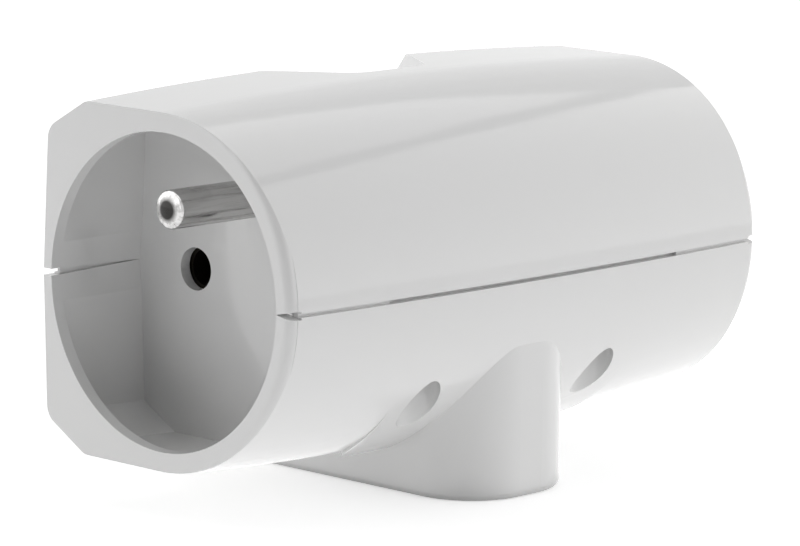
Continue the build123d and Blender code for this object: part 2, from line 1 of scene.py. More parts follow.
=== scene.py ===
import json
import logging
import math
from dataclasses import dataclass
from enum import Enum

import bmesh
import bpy
import numpy as np
from mathutils import Matrix, Vector

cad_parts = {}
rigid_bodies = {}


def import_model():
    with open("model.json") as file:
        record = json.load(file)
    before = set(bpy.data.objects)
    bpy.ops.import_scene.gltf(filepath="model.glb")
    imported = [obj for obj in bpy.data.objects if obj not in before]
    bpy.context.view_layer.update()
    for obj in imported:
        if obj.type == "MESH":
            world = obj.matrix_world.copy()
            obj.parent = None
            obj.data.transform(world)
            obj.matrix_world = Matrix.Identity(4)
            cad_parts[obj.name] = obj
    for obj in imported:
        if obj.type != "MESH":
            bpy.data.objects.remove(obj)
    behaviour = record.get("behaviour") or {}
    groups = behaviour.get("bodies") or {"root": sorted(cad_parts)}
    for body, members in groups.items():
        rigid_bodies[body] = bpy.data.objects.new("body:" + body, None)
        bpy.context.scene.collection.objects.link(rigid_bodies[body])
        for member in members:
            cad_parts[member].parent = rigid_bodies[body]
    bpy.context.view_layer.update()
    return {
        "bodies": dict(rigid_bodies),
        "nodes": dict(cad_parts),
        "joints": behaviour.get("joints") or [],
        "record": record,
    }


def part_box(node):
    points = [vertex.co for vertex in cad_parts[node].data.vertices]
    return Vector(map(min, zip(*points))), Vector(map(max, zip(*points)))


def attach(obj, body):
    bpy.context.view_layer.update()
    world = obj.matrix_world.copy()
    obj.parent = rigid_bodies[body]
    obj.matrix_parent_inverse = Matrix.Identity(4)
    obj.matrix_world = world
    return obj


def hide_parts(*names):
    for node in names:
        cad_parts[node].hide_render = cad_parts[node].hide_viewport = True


# Looks of a white multi socket adapter: glossy moulded case, turned pins, brass work inside,
# on a pale floor in soft light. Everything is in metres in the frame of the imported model.

MM = 0.001

MIX_SHARE, MIX_FIRST, MIX_SECOND, MIX_RESULT = 0, 6, 7, 2  # places of the Mix node's colour sockets
PATCH_BAND = (0.3, 0.7)  # noise band of slow patches on plastic
UPWARD_BAND = (0.35, 0.95)  # how far a surface faces up before dust lies on it
SPECK_BAND = (0.58, 0.72)  # noise band that leaves sparse specks
RUB_BAND = (0.42, 0.72)  # noise band of rub marks
TARNISH_BAND = (0.4, 0.75)  # noise band of tarnish
RUB_SQUEEZE = 0.05  # share of the length of a pin that the rub noise sees
GRAIN_SQUEEZE = 0.06  # share of the length of a strip that the grain noise sees
WAVE_SIZE = 8.0  # size of the waviness of plastic, in sizes of its fine grain
EASE_BEFORE, EASE_AFTER = 0.49, 0.9  # largest share of a run that an eased corner takes
SHARP_EDGE = math.radians(40.0)  # edges over this angle stay sharp

log = logging.getLogger("adapter")


class Along(Enum):
    """Axis that a turned piece runs along, with its place in a point."""

    X = 0
    Y = 1


def linked(tree: bpy.types.NodeTree, source: bpy.types.NodeSocket, target: bpy.types.NodeSocket) -> None:
    """Joins an output to an input."""
    tree.links.new(source, target)


def feed(tree: bpy.types.NodeTree, socket: bpy.types.NodeSocket, value: object) -> None:
    """Links an input to a socket, or sets it to a value.

    Args:
        tree: node tree of the input.
        socket: the input.
        value: socket or value that it gets.
    """
    if isinstance(value, bpy.types.NodeSocket):
        tree.links.new(value, socket)
    else:
        socket.default_value = value


def node(tree: bpy.types.NodeTree, kind: str, **inputs: object) -> bpy.types.Node:
    """Adds a shader node and sets its inputs.

    Args:
        tree: node tree that the node goes into.
        kind: Blender's name for the node type.
        inputs: input names with underscores for spaces; a socket is linked, a value is set.

    Returns:
        The new node.
    """
    made = tree.nodes.new(kind)
    for name, value in inputs.items():
        feed(tree, made.inputs[name.replace("_", " ")], value)
    return made


def math_node(tree: bpy.types.NodeTree, operation: str, *values: object) -> bpy.types.NodeSocket:
    """Adds a Math node.

    Args:
        tree: node tree that the node goes into.
        operation: Blender's name for the operation.
        values: numbers or sockets for its inputs, in order.

    Returns:
        The node's output.
    """
    made = tree.nodes.new("ShaderNodeMath")
    made.operation = operation
    for socket, value in zip(made.inputs, values):
        feed(tree, socket, value)
    return made.outputs[0]


def spread(tree: bpy.types.NodeTree, value: bpy.types.NodeSocket, low: float, high: float,
           to_low: float = 0.0, to_high: float = 1.0) -> bpy.types.NodeSocket:
    """Carries a value from one range to another, held at the ends.

    Args:
        tree: node tree that the node goes into.
        value: socket with the value.
        low: lower end of the first range.
        high: upper end of the first range.
        to_low: value at the lower end.
        to_high: value at the upper end.

    Returns:
        Socket with the carried value.
    """
    made = tree.nodes.new("ShaderNodeMapRange")
    tree.links.new(value, made.inputs["Value"])
    for name, number in (("From Min", low), ("From Max", high), ("To Min", to_low), ("To Max", to_high)):
        made.inputs[name].default_value = number
    return made.outputs["Result"]


def blend_colours(tree: bpy.types.NodeTree, share: object, first: object,
                  second: object) -> bpy.types.NodeSocket:
    """Mixes two colours.

    Args:
        tree: node tree that the node goes into.
        share: part of the second colour, as a socket or a number.
        first: colour or socket at a share of 0.
        second: colour or socket at a share of 1.

    Returns:
        Socket with the mixed colour.
    """
    made = tree.nodes.new("ShaderNodeMix")
    made.data_type = "RGBA"
    for index, value in ((MIX_SHARE, share), (MIX_FIRST, first), (MIX_SECOND, second)):
        feed(tree, made.inputs[index], value)
    return made.outputs[MIX_RESULT]


def colour(red: float, green: float, blue: float) -> tuple[float, float, float, float]:
    """Colour with full alpha."""
    return (red, green, blue, 1.0)


class Effects:
    """Shared effects as shader node groups, each built once."""

    def __init__(self) -> None:
        """Builds the groups."""
        self.skin = self._moulded_skin()
        self.dust = self._settled_dust()
        self.lathe = self._turning_lines()
        self.rolled = self._rolled_grain()

    def _group(self, name: str, inputs: dict[str, float], outputs: tuple[str, ...],
               vector: bool = False) -> tuple[bpy.types.NodeTree, bpy.types.Node, bpy.types.Node]:
        """Makes an empty group with named sockets.

        Args:
            name: name of the group.
            inputs: input names with their starting values.
            outputs: names of the value outputs.
            vector: whether the group also takes a point.

        Returns:
            The tree, its input node and its output node.
        """
        tree = bpy.data.node_groups.new(name, "ShaderNodeTree")
        if vector:
            tree.interface.new_socket(name="Point", in_out="INPUT", socket_type="NodeSocketVector")
        for label, value in inputs.items():
            socket = tree.interface.new_socket(name=label, in_out="INPUT", socket_type="NodeSocketFloat")
            socket.default_value = value
        for label in outputs:
            tree.interface.new_socket(name=label, in_out="OUTPUT", socket_type="NodeSocketFloat")
        return tree, tree.nodes.new("NodeGroupInput"), tree.nodes.new("NodeGroupOutput")

    def _moulded_skin(self) -> bpy.types.NodeTree:
        """Skin of moulded plastic.

        Height is fine noise of the stated size plus a slow waviness eight times as large.
        Gloss is a patchy value from 0 to 1 that moves the roughness, and Tint one that moves the colour.

        Returns:
            The group's tree.
        """
        tree, given, out = self._group("moulded_skin", {"Fineness": 1400.0, "Waviness": 0.5},
                                       ("Height", "Gloss", "Tint"))
        point = tree.nodes.new("ShaderNodeTexCoord").outputs["Object"]
        fine = node(tree, "ShaderNodeTexNoise", Vector=point, Scale=given.outputs["Fineness"],
                    Detail=2.0, Roughness=0.5)
        slow_scale = math_node(tree, "DIVIDE", given.outputs["Fineness"], WAVE_SIZE)
        slow = node(tree, "ShaderNodeTexNoise", Vector=point, Scale=slow_scale, Detail=1.0)
        waves = math_node(tree, "MULTIPLY", slow.outputs["Fac"], given.outputs["Waviness"])
        linked(tree, math_node(tree, "ADD", fine.outputs["Fac"], waves), out.inputs["Height"])
        patches = node(tree, "ShaderNodeTexNoise", Vector=point, Scale=55.0, Detail=4.0, Roughness=0.6)
        linked(tree, spread(tree, patches.outputs["Fac"], *PATCH_BAND), out.inputs["Gloss"])
        flow = node(tree, "ShaderNodeTexNoise", Vector=point, Scale=22.0, Detail=3.0, Distortion=0.6)
        linked(tree, spread(tree, flow.outputs["Fac"], *PATCH_BAND), out.inputs["Tint"])
        return tree

    def _settled_dust(self) -> bpy.types.NodeTree:
        """Sparse dust on what faces up.

        The mask is how far the surface faces up, times where fine noise is over a threshold.

        Returns:
            The group's tree.
        """
        tree, given, out = self._group("settled_dust", {"Amount": 0.3, "Fineness": 900.0}, ("Mask",))
        point = tree.nodes.new("ShaderNodeTexCoord").outputs["Object"]
        facing = tree.nodes.new("ShaderNodeNewGeometry").outputs["Normal"]
        split = node(tree, "ShaderNodeSeparateXYZ", Vector=facing)
        upward = spread(tree, split.outputs["Z"], *UPWARD_BAND)
        specks = node(tree, "ShaderNodeTexNoise", Vector=point, Scale=given.outputs["Fineness"],
                      Detail=3.0, Roughness=0.7)
        sparse = spread(tree, specks.outputs["Fac"], *SPECK_BAND)
        laid = math_node(tree, "MULTIPLY", upward, sparse)
        linked(tree, math_node(tree, "MULTIPLY", laid, given.outputs["Amount"]), out.inputs["Mask"])
        return tree

    def _turning_lines(self) -> bpy.types.NodeTree:
        """Fine lines left round a turned pin, and rub marks along it.

        Rings are noise that changes only along the pin. Rubs are noise on a point that is squeezed along
        the pin, so that its marks are long.

        Returns:
            The group's tree.
        """
        tree, given, out = self._group("turning_lines", {"Distance": 0.0, "Rings": 9000.0},
                                       ("Height", "Rub"), vector=True)
        rings = tree.nodes.new("ShaderNodeTexNoise")
        rings.noise_dimensions = "1D"
        linked(tree, given.outputs["Distance"], rings.inputs["W"])
        linked(tree, given.outputs["Rings"], rings.inputs["Scale"])
        rings.inputs["Detail"].default_value = 3.0
        linked(tree, rings.outputs["Fac"], out.inputs["Height"])
        rubs = node(tree, "ShaderNodeTexNoise", Vector=given.outputs["Point"], Scale=1500.0, Detail=4.0,
                    Roughness=0.65)
        linked(tree, spread(tree, rubs.outputs["Fac"], *RUB_BAND), out.inputs["Rub"])
        return tree

    def _rolled_grain(self) -> bpy.types.NodeTree:
        """Grain of rolled strip.

        Height is noise on a point squeezed along X, and Tarnish is slow blotchy noise.

        Returns:
            The group's tree.
        """
        tree, given, out = self._group("rolled_grain", {"Fineness": 5000.0}, ("Height", "Tarnish"))
        point = tree.nodes.new("ShaderNodeTexCoord").outputs["Object"]
        long = node(tree, "ShaderNodeMapping", Vector=point, Scale=Vector((GRAIN_SQUEEZE, 1.0, 1.0)))
        grain = node(tree, "ShaderNodeTexNoise", Vector=long.outputs["Vector"],
                     Scale=given.outputs["Fineness"], Detail=2.0)
        linked(tree, grain.outputs["Fac"], out.inputs["Height"])
        blotches = node(tree, "ShaderNodeTexNoise", Vector=point, Scale=240.0, Detail=5.0,
                        Roughness=0.65)
        linked(tree, spread(tree, blotches.outputs["Fac"], *TARNISH_BAND), out.inputs["Tarnish"])
        return tree


def new_material(name: str) -> tuple[bpy.types.Material, bpy.types.NodeTree, bpy.types.Node]:
    """Makes a material with a Principled shader.

    Args:
        name: name of the material.

    Returns:
        The material, its tree and the shader node.
    """
    material = bpy.data.materials.new(name)
    material.use_nodes = True
    tree = material.node_tree
    return material, tree, tree.nodes["Principled BSDF"]


def place_group(tree: bpy.types.NodeTree, group: bpy.types.NodeTree, **inputs: object) -> bpy.types.Node:
    """Places a shared effect in a material.

    Args:
        tree: the material's tree.
        group: the shared group.
        inputs: the group's inputs by name.

    Returns:
        The group node.
    """
    made = tree.nodes.new("ShaderNodeGroup")
    made.node_tree = group
    for name, value in inputs.items():
        feed(tree, made.inputs[name], value)
    return made


def bump(tree: bpy.types.NodeTree, height: bpy.types.NodeSocket, strength: float, depth: float,
         shader: bpy.types.Node) -> None:
    """Sends a height through a Bump node to a shader.

    Args:
        tree: the material's tree.
        height: socket with the height, about 0 to 1.
        strength: how much of the bump shows.
        depth: real depth of the relief in metres.
        shader: shader whose normal it moves.
    """
    made = node(tree, "ShaderNodeBump", Height=height, Strength=strength, Distance=depth)
    linked(tree, made.outputs["Normal"], shader.inputs["Normal"])


@dataclass(frozen=True)
class GlossCase:
    """Glossy white moulded plastic of the case and the plug's neck."""

    name: str = "gloss_case"
    fresh: tuple[float, float, float, float] = colour(0.80, 0.80, 0.80)
    aged: tuple[float, float, float, float] = colour(0.794, 0.793, 0.788)
    dust: tuple[float, float, float, float] = colour(0.62, 0.60, 0.57)
    polished: float = 0.10
    dull: float = 0.12
    dustiness: float = 0.03
    refraction: float = 1.53
    grain_strength: float = 0.35
    grain_depth: float = 0.0005 * MM

    def build(self, effects: Effects) -> bpy.types.Material:
        """Makes the material.

        Args:
            effects: the shared effects.

        Returns:
            The material.
        """
        material, tree, shader = new_material(self.name)
        skin = place_group(tree, effects.skin)
        dust = place_group(tree, effects.dust, Amount=self.dustiness)
        plain = blend_colours(tree, skin.outputs["Tint"], self.fresh, self.aged)
        dusty = blend_colours(tree, dust.outputs["Mask"], plain, self.dust)
        linked(tree, dusty, shader.inputs["Base Color"])
        sheen = spread(tree, skin.outputs["Gloss"], 0.0, 1.0, self.polished, self.dull)
        rough = math_node(tree, "ADD", sheen, dust.outputs["Mask"])
        linked(tree, rough, shader.inputs["Roughness"])
        shader.inputs["IOR"].default_value = self.refraction
        bump(tree, skin.outputs["Height"], self.grain_strength, self.grain_depth, shader)
        return material


@dataclass(frozen=True)
class TurnedNickel:
    """Nickelled pin, turned, with rub marks along it and, where a tip is given, a dark reflection
    painted on the middle of its end.

    Attributes:
        along: axis that the pin runs along.
        name: first part of the material's name.
        bright: colour of clean metal.
        rubbed: colour of rub marks.
        polished: roughness of clean metal.
        dull: roughness of rub marks.
        line_strength: how much of the turning lines shows.
        line_depth: depth of the turning lines in metres.
        painted_reflection: colour of the dark reflection painted on the middle of the end.
        reflection_inner: distance from the axis up to which the painted reflection is full, in metres.
        reflection_outer: distance from the axis where the painted reflection ends, in metres.
        reflection_start: distance from the tip where the painted reflection starts, in metres.
        reflection_full: distance from the tip from which the painted reflection is full, in metres.
        tip: distance of the tip from the middle of the object, or 0 for a pin without the painted
            reflection.
        level: height of the pin's axis in metres.
    """

    along: Along
    name: str = "turned_nickel"
    bright: tuple[float, float, float, float] = colour(0.58, 0.575, 0.57)
    rubbed: tuple[float, float, float, float] = colour(0.34, 0.335, 0.33)
    polished: float = 0.16
    dull: float = 0.38
    line_strength: float = 0.4
    line_depth: float = 0.006 * MM
    painted_reflection: tuple[float, float, float, float] = colour(0.035, 0.034, 0.033)
    reflection_inner: float = 1.05 * MM
    reflection_outer: float = 1.725 * MM
    reflection_start: float = 0.6 * MM
    reflection_full: float = 0.4 * MM
    tip: float = 0.0
    level: float = 0.0

    def _painted_reflection_mask(self, tree: bpy.types.NodeTree, split: bpy.types.Node) -> bpy.types.NodeSocket:
        """Mask of the dark reflection painted on the middle of a pin's end, near the tip and near the
        pin's axis.

        Args:
            tree: the material's tree.
            split: node with the point's coordinates.

        Returns:
            Socket with the mask.
        """
        station = math_node(tree, "ABSOLUTE", split.outputs["X"])
        near_tip = spread(tree, station, self.tip - self.reflection_start, self.tip - self.reflection_full)
        rise = math_node(tree, "SUBTRACT", split.outputs["Z"], self.level)
        square = math_node(tree, "ADD", math_node(tree, "MULTIPLY", rise, rise),
                           math_node(tree, "MULTIPLY", split.outputs["Y"], split.outputs["Y"]))
        away = math_node(tree, "SQRT", square)
        inside = spread(tree, away, self.reflection_inner, self.reflection_outer, 1.0, 0.0)
        return math_node(tree, "MULTIPLY", near_tip, inside)

    def build(self, effects: Effects) -> bpy.types.Material:
        """Makes the material.

        Args:
            effects: the shared effects.

        Returns:
            The material.
        """
        material, tree, shader = new_material(f"{self.name}_{self.along.name.lower()}")
        point = tree.nodes.new("ShaderNodeTexCoord").outputs["Object"]
        split = node(tree, "ShaderNodeSeparateXYZ", Vector=point)
        squeeze = [1.0, 1.0, 1.0]
        squeeze[self.along.value] = RUB_SQUEEZE
        long = node(tree, "ShaderNodeMapping", Vector=point, Scale=Vector(squeeze))
        lines = place_group(tree, effects.lathe, Distance=split.outputs[self.along.value],
                            Point=long.outputs["Vector"])
        metal = blend_colours(tree, lines.outputs["Rub"], self.bright, self.rubbed)
        if self.tip > 0.0:
            # painted reflection: a near-black patch laid over the middle of the pin's end
            metal = blend_colours(tree, self._painted_reflection_mask(tree, split), metal, self.painted_reflection)
        linked(tree, metal, shader.inputs["Base Color"])
        linked(tree, spread(tree, lines.outputs["Rub"], 0.0, 1.0, self.polished, self.dull),
               shader.inputs["Roughness"])
        shader.inputs["Metallic"].default_value = 1.0
        bump(tree, lines.outputs["Height"], self.line_strength, self.line_depth, shader)
        return material


@dataclass(frozen=True)
class StampedStrip:
    """Rolled and stamped metal, with light tarnish."""

    name: str
    clean: tuple[float, float, float, float]
    tarnished: tuple[float, float, float, float]
    polished: float = 0.24
    dull: float = 0.45
    grain_strength: float = 0.3
    grain_depth: float = 0.01 * MM

    def build(self, effects: Effects) -> bpy.types.Material:
        """Makes the material.

        Args:
            effects: the shared effects.

        Returns:
            The material.
        """
        material, tree, shader = new_material(self.name)
        grain = place_group(tree, effects.rolled)
        linked(tree, blend_colours(tree, grain.outputs["Tarnish"], self.clean, self.tarnished),
               shader.inputs["Base Color"])
        linked(tree, spread(tree, grain.outputs["Tarnish"], 0.0, 1.0, self.polished, self.dull),
               shader.inputs["Roughness"])
        shader.inputs["Metallic"].default_value = 1.0
        bump(tree, grain.outputs["Height"], self.grain_strength, self.grain_depth, shader)
        return material


@dataclass(frozen=True)
class MatteSleeving:
    """Black insulating sleeve with a dull extruded skin."""

    name: str = "matte_sleeving"
    deep: tuple[float, float, float, float] = colour(0.022, 0.022, 0.024)
    worn: tuple[float, float, float, float] = colour(0.06, 0.06, 0.062)
    fineness: float = 2600.0
    polished: float = 0.5
    dull: float = 0.72
    grain_strength: float = 0.5
    grain_depth: float = 0.02 * MM

    def build(self, effects: Effects) -> bpy.types.Material:
        """Makes the material.

        Args:
            effects: the shared effects.

        Returns:
            The material.
        """
        material, tree, shader = new_material(self.name)
        skin = place_group(tree, effects.skin, Fineness=self.fineness)
        linked(tree, blend_colours(tree, skin.outputs["Tint"], self.deep, self.worn),
               shader.inputs["Base Color"])
        linked(tree, spread(tree, skin.outputs["Gloss"], 0.0, 1.0, self.polished, self.dull),
               shader.inputs["Roughness"])
        bump(tree, skin.outputs["Height"], self.grain_strength, self.grain_depth, shader)
        return material


def eased_profile(corners: tuple[tuple[float, float, float], ...],
                  steps: int = 9) -> tuple[np.ndarray, np.ndarray]:
    """Outline of a turned piece with eased corners.

    A corner with a reach is replaced by the parabola (1 - w)^2 A + 2 w (1 - w) C + w^2 B, where C is the
    corner and A and B lie at the reach from it on the runs before and after it.

    Args:
        corners: station, radius and reach of each corner, from one pole to the other.
        steps: points on each parabola.

    Returns:
        The stations and the radii of the outline.
    """
    places = np.array([corner[:2] for corner in corners])
    share = np.linspace(0.0, 1.0, steps)[:, None]
    parts = [places[:1]]
    for index in range(1, len(corners) - 1):
        reach = corners[index][2]
        middle = places[index]
        if reach <= 0.0:
            parts.append(middle[None, :])
            continue
        before = places[index - 1] - middle
        after = places[index + 1] - middle
        first = middle + before * min(EASE_BEFORE, reach / np.linalg.norm(before))
        last = middle + after * min(EASE_AFTER, reach / np.linalg.norm(after))
        parts.append((1 - share) ** 2 * first + 2 * share * (1 - share) * middle + share ** 2 * last)
    parts.append(places[-1:])
    outline = np.vstack(parts)
    return outline[:, 0], outline[:, 1]


def domed(stations: np.ndarray, radii: np.ndarray, steps: int = 14) -> tuple[np.ndarray, np.ndarray]:
    """Swells the straight cone at the end of an outline into a round dome.

    The new points have radii r that fall evenly from r0 to 0, and stations tip - (tip - s0) (r / r0)^2,
    where s0 and r0 are the station and the radius of the last eased point.

    Args:
        stations: stations of the outline, whose last point is the tip.
        radii: radii of the outline.
        steps: points on the dome, with the one that it starts from.

    Returns:
        The stations and the radii with the dome.
    """
    tip = stations[-1]
    rise = tip - stations[-2]
    inward = np.linspace(radii[-2], 0.0, steps)[1:]
    swell = tip - rise * (inward / radii[-2]) ** 2
    return np.concatenate((stations[:-1], swell)), np.concatenate((radii[:-1], inward))


def turned(name: str, stations: np.ndarray, radii: np.ndarray, axis: Along, centre: tuple[float, float],
           steps: int = 72) -> bpy.types.Object:
    """Closed turned surface.

    The point at station s and angle a lies at s along the axis, and at r(s) (cos a, sin a) across it
    from the centre. The first and the last radius are 0, and each makes one point.

    Args:
        name: name of the piece.
        stations: distances along the axis, pole to pole.
        radii: radius at each station.
        axis: X or Y.
        centre: the other two coordinates of the axis, in order.
        steps: points round the axis.

    Returns:
        The piece's object.
    """
    angles = np.linspace(0.0, 2.0 * np.pi, steps, endpoint=False)
    ring_radii = radii[1:-1, None]
    along = np.broadcast_to(stations[1:-1, None], (ring_radii.size, steps))
    across = centre[0] + ring_radii * np.cos(angles)
    upward = centre[1] + ring_radii * np.sin(angles)
    grid = np.stack((along, across, upward), axis=-1).reshape(-1, 3)
    poles = np.array(((stations[0], *centre), (stations[-1], *centre)))
    points = np.vstack((grid, poles))
    if axis is Along.Y:
        points = points[:, (1, 0, 2)]
    here = np.arange(steps)
    following = (here + 1) % steps
    rows = steps * np.arange(ring_radii.size - 1)[:, None]
    quads = np.stack((rows + here, rows + following,
                      rows + steps + following, rows + steps + here), axis=-1)
    last = steps * (ring_radii.size - 1)
    first_fan = np.stack((np.full(steps, len(grid)), following, here), axis=-1)
    last_fan = np.stack((np.full(steps, len(grid) + 1), last + here, last + following), axis=-1)
    faces = quads.reshape(-1, 4).tolist() + first_fan.tolist() + last_fan.tolist()
    mesh = bpy.data.meshes.new(name)
    mesh.from_pydata(points.tolist(), [], faces)
    work = bmesh.new()
    work.from_mesh(mesh)
    bmesh.ops.recalc_face_normals(work, faces=work.faces)
    work.to_mesh(mesh)
    work.free()
    mesh.shade_smooth()
    mesh.set_sharp_from_angle(angle=SHARP_EDGE)
    piece = bpy.data.objects.new(name, mesh)
    bpy.context.scene.collection.objects.link(piece)
    return piece


def stand_in(piece: bpy.types.Object, node_name: str, material: bpy.types.Material) -> None:
    """Lets a new piece stand for a CAD node.

    Args:
        piece: the new piece.
        node_name: CAD node that it stands for.
        material: its finish.
    """
    piece.data.materials.append(material)
    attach(piece, "root")
    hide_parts(node_name)
    log.info("made %s for %s", piece.name, node_name)


def dress(frame: dict, names: tuple[str, ...], material: bpy.types.Material) -> None:
    """Gives CAD nodes a finish through their objects' material slots.

    Args:
        frame: the loaded frame.
        names: node names.
        material: finish of all of them.
    """
    for name in names:
        piece = frame["nodes"][name]
        for slot in piece.material_slots:
            slot.material = material
        log.info("dressed %s with %s", name, material.name)


@dataclass
class Case:
    """Both shells of the case."""

    names: tuple[str, ...] = ("upper_shell", "lower_shell")
    finish: GlossCase = GlossCase()

    def build(self, frame: dict, effects: Effects) -> None:
        """Dresses the shells."""
        dress(frame, self.names, self.finish.build(effects))


@dataclass(frozen=True)
class PinForm:
    """Steps that the plug pins and the earth pins share: a spigot, a shank and the full pin."""

    radius: float = 2.4 * MM
    shank_radius: float = 2.0 * MM
    spigot_radius: float = 1.5 * MM
    spigot_length: float = 1.2 * MM
    spigot_ease: float = 0.2 * MM
    shoulder_ease: float = 0.12 * MM

    def foot(self, start: float, shoulder: float) -> tuple[tuple[float, float, float], ...]:
        """Corners of the outline from the spigot's end to the shoulder.

        Args:
            start: station of the spigot's end.
            shoulder: station where the full radius starts.

        Returns:
            Station, radius and reach of each corner.
        """
        shank = start + self.spigot_length
        return ((start, 0.0, 0.0), (start, self.spigot_radius, self.spigot_ease),
                (shank, self.spigot_radius, 0.0), (shank, self.shank_radius, 0.0),
                (shoulder, self.shank_radius, 0.0), (shoulder, self.radius, self.shoulder_ease))


@dataclass
class PlugHead:
    """Neck on the wall side with its pins and its earth sleeve."""

    neck_finish: GlossCase = GlossCase(name="neck_case", polished=0.18, dull=0.22)
    names: tuple[str, ...] = ("plug_pin_left", "plug_pin_right")
    form: PinForm = PinForm()
    shoulder: float = 35.9 * MM
    tip_ease: float = 2.0 * MM

    def build(self, frame: dict, effects: Effects, brass: bpy.types.Material) -> None:
        """Dresses the neck and the sleeve, and turns the pins.

        Args:
            frame: the loaded frame.
            effects: the shared effects.
            brass: finish of the earth sleeve.
        """
        dress(frame, ("plug_block",), self.neck_finish.build(effects))
        dress(frame, ("plug_earth_sleeve",), brass)
        nickel = TurnedNickel(Along.Y).build(effects)
        for name in self.names:
            low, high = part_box(name)
            end = ((high.y, self.form.radius, self.tip_ease), (high.y, 0.0, 0.0))
            stations, radii = eased_profile(self.form.foot(low.y, self.shoulder) + end)
            centre = ((low.x + high.x) / 2, (low.z + high.z) / 2)
            stand_in(turned(f"turned_{name}", stations, radii, Along.Y, centre), name, nickel)


@dataclass
class SocketPins:
    """Earth pins of the two recessed sockets."""

    names: tuple[str, ...] = ("earth_pin_left", "earth_pin_right")
    form: PinForm = PinForm()
    shoulder: float = 28.0 * MM
    rim_ease: float = 0.35 * MM
    dome_height: float = 0.55 * MM
    dome_rise: float = 0.3 * MM

    def build(self, effects: Effects) -> None:
        """Turns the pins, each with a low dome inside an eased rim at its tip.

        Args:
            effects: the shared effects.
        """
        low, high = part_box(self.names[0])
        tip = max(abs(low.x), abs(high.x)) + self.dome_rise
        # the earth pins' material paints a dark reflection on the middle of each end
        nickel = TurnedNickel(Along.X, tip=tip, level=(low.z + high.z) / 2).build(effects)
        for name in self.names:
            low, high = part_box(name)
            side = math.copysign(1.0, low.x)
            start = min(abs(low.x), abs(high.x))
            end = ((tip - self.dome_height, self.form.radius, self.rim_ease), (tip, 0.0, 0.0))
            stations, radii = domed(*eased_profile(self.form.foot(start, self.shoulder) + end))
            centre = ((low.y + high.y) / 2, (low.z + high.z) / 2)
            stand_in(turned(f"turned_{name}", side * stations, radii, Along.X, centre), name, nickel)


BRASS = StampedStrip("stamped_brass", colour(0.80, 0.62, 0.32), colour(0.55, 0.40, 0.20))


@dataclass
class BrassWork:
    """Strips, clips and rivets inside the case."""

    strips: tuple[str, ...] = ("earth_bar", "wall_bar", "front_bar", "cross_strap", "rivets")
    clip_finish: StampedStrip = StampedStrip("dark_spring_clip", colour(0.045, 0.040, 0.032),
                                             colour(0.018, 0.016, 0.014), polished=0.4, dull=0.6)
    clips: tuple[str, ...] = ("clip_left_wall", "clip_left_front", "clip_right_wall", "clip_right_front",
                              "outlet_clip_wall", "outlet_clip_front")

    def build(self, frame: dict, effects: Effects, brass: bpy.types.Material) -> None:
        """Dresses the strips, the clips and the strap's sleeve.

        Args:
            frame: the loaded frame.
            effects: the shared effects.
            brass: finish of the strips and the rivets.
        """
        dress(frame, self.strips, brass)
        dress(frame, self.clips, self.clip_finish.build(effects))
        dress(frame, ("strap_sleeve",), MatteSleeving().build(effects))


@dataclass
class Fasteners:
    """Screws that hold the shells together."""

    finish: StampedStrip = StampedStrip("zinc_screw", colour(0.60, 0.61, 0.62), colour(0.42, 0.42, 0.41))

    def build(self, frame: dict, effects: Effects) -> None:
        """Dresses the screws."""
        dress(frame, ("case_screws",), self.finish.build(effects))


class Facing(Enum):
    """Which way a softbox shines."""

    INWARD = "inward"
    DOWN = "down"
    UP = "up"


@dataclass(frozen=True)
class Softbox:
    """One rectangular softbox of even brightness.

    Attributes:
        name: name of the lamp.
        facing: which way it shines.
        azimuth: direction from the object to its middle in degrees, anticlockwise from +X.
        out: distance of its middle along that direction, in metres.
        aside: distance of its middle across that direction, in metres.
        level: height of its middle over the floor, in metres.
        width: for an upright box its width, else its size along the azimuth, in metres.
        depth: for an upright box its height, else its size across the azimuth, in metres.
        glow: brightness, where 1 is white.
    """

    name: str
    facing: Facing
    azimuth: float
    out: float
    aside: float
    level: float
    width: float
    depth: float
    glow: float

    def build(self) -> bpy.types.Object:
        """Makes the lamp.

        Returns:
            The lamp's object.
        """
        data = bpy.data.lights.new(self.name, "AREA")
        data.shape = "RECTANGLE"
        data.size = self.width
        data.size_y = self.depth
        data.energy = self.glow * math.pi * self.width * self.depth
        lamp = bpy.data.objects.new(self.name, data)
        bpy.context.scene.collection.objects.link(lamp)
        turn = math.radians(self.azimuth)
        away = Vector((math.cos(turn), math.sin(turn), 0.0))
        across = Vector((-math.sin(turn), math.cos(turn), 0.0))
        lamp.location = away * self.out + across * self.aside + Vector((0.0, 0.0, self.level))
        if self.facing is Facing.INWARD:
            lamp.rotation_euler = away.to_track_quat("Z", "Y").to_euler()
        else:
            lamp.rotation_euler = (math.pi if self.facing is Facing.UP else 0.0, 0.0, turn)
        lamp.visible_camera = False
        return lamp


